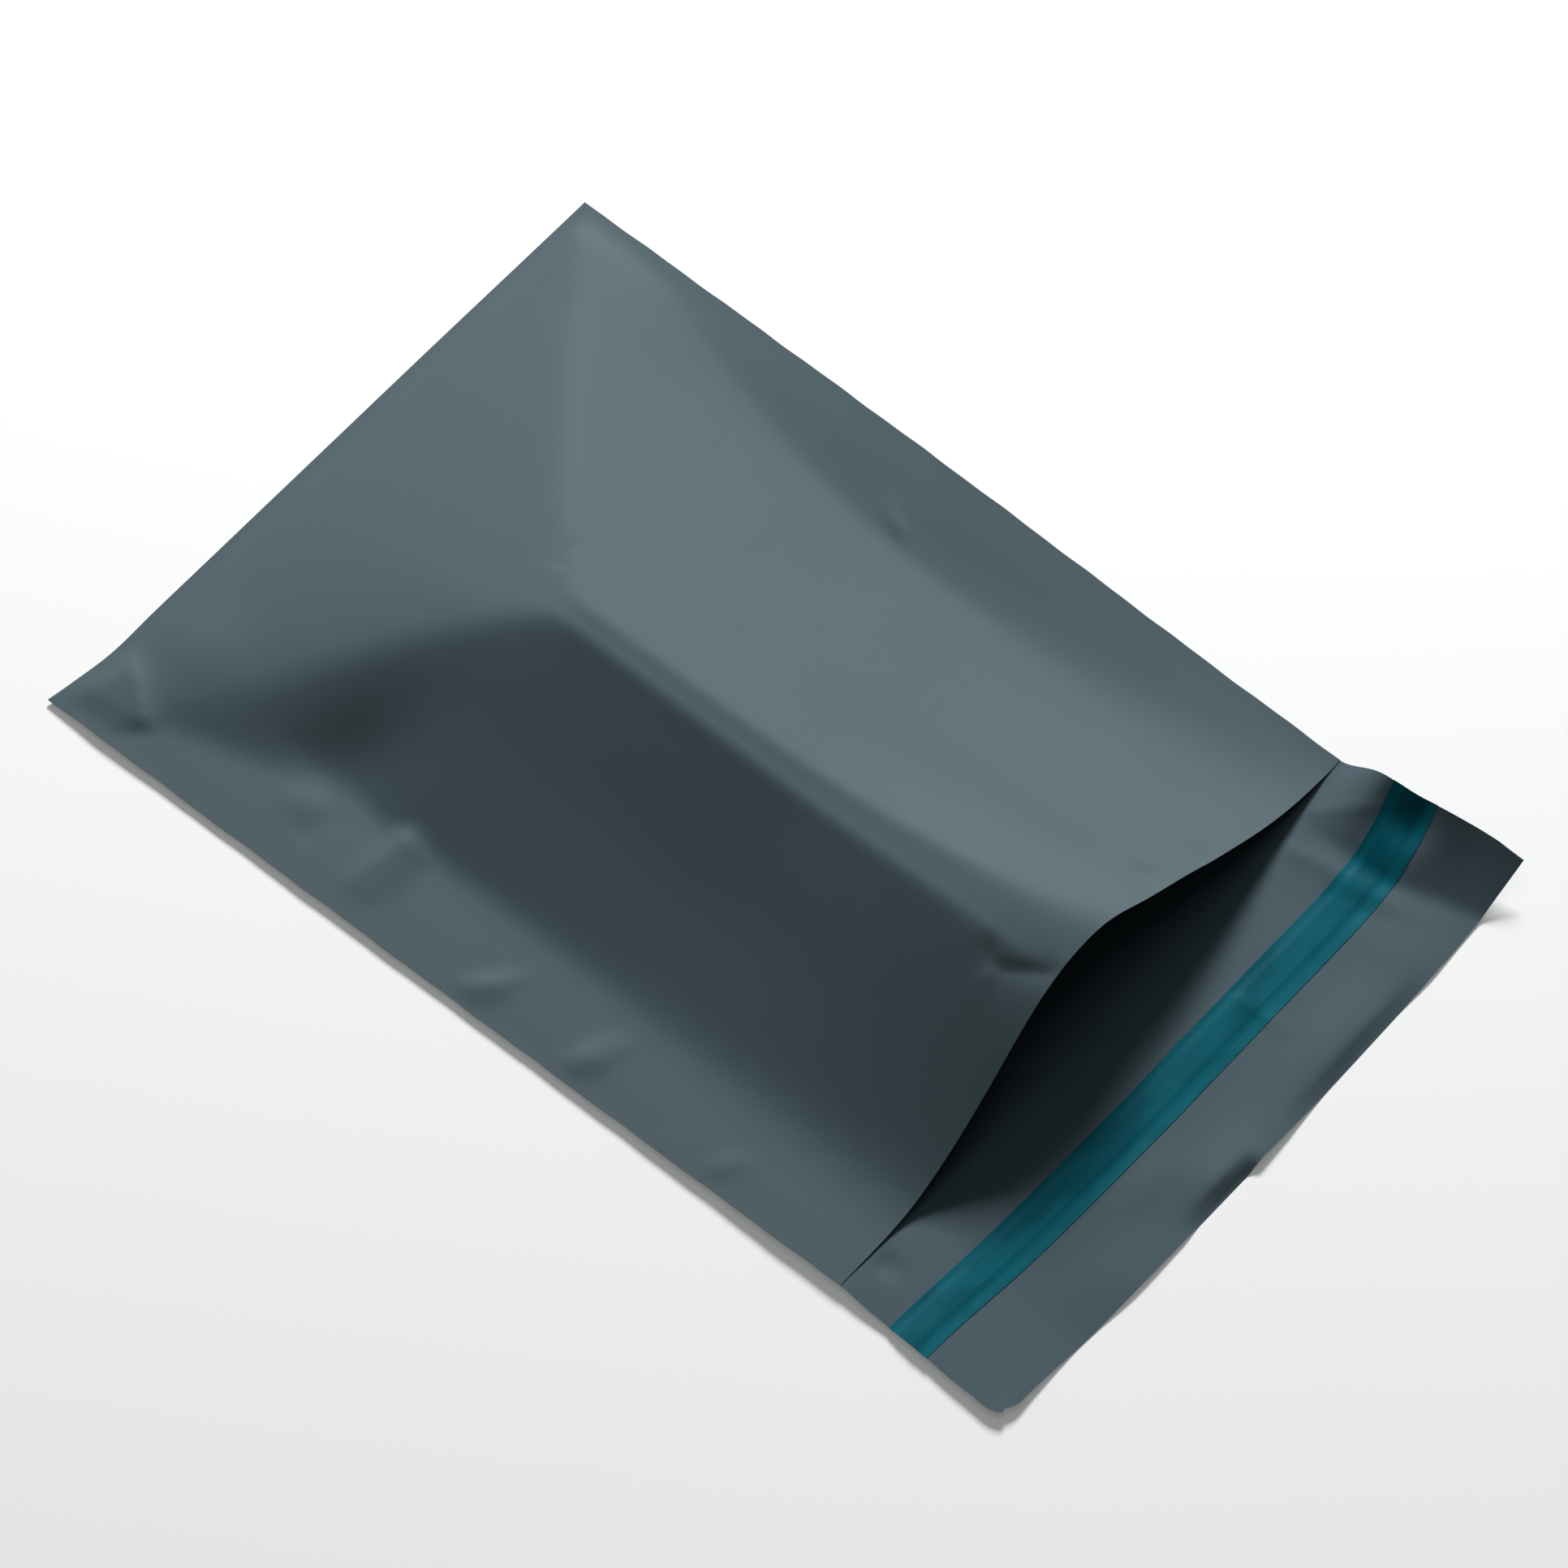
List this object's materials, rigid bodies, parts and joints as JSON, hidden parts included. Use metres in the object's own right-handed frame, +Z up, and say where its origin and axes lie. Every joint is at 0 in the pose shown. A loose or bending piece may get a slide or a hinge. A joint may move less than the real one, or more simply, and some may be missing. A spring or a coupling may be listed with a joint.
{
  "type": "poly mailer",
  "caption": "Grey plastic film mailing bag, open at the mouth and slightly blown up, with an unfolded sealing lip and a teal peel-off liner over its adhesive.",
  "frame": {"origin": "middle of the bag's footprint on the table", "axes": "+Y from the mouth to the bottom fold, X across the bag, +Z up from the table"},
  "size_m": [0.25, 0.3816, 0.0364],
  "materials": {
    "film": "satin grey co-extruded polyethylene film",
    "adhesive": "hot-melt adhesive bead",
    "liner": "teal release film"
  },
  "bodies": {
    "root": {"bag": "film", "adhesive_strip": "adhesive", "release_liner": "liner"}
  },
  "joints": []
}
